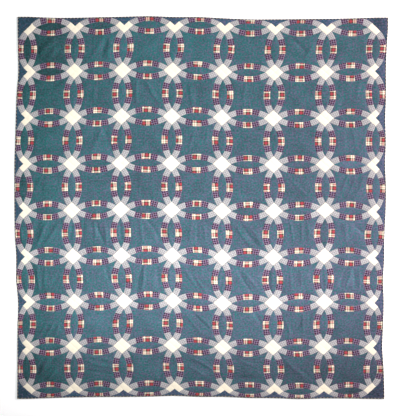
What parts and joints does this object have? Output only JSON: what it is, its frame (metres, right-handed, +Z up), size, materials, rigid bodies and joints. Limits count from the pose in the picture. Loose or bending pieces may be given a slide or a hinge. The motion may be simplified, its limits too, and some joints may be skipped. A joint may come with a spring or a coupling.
{
  "type": "double wedding ring quilt",
  "caption": "Nearly square quilted bed cover lying flat, pieced with interlocking rings of plaid and check patches on a blue-green ground, with a narrow bound edge.",
  "frame": {"origin": "middle of the quilt's box, on the flat underside", "axes": "+Z up out of the pieced face, +Y towards the top edge as shown, +X to the right as shown"},
  "size_m": [2.3108, 2.366, 0.0079],
  "materials": {
    "patchwork_cloth": "pieced and quilted woven cotton",
    "binding_cloth": "dark woven cotton plaid, folded to a narrow strip"
  },
  "bodies": {
    "root": {"quilt_body": "patchwork_cloth", "binding_top": "binding_cloth", "binding_bottom": "binding_cloth", "binding_left": "binding_cloth", "binding_right": "binding_cloth"}
  },
  "joints": []
}
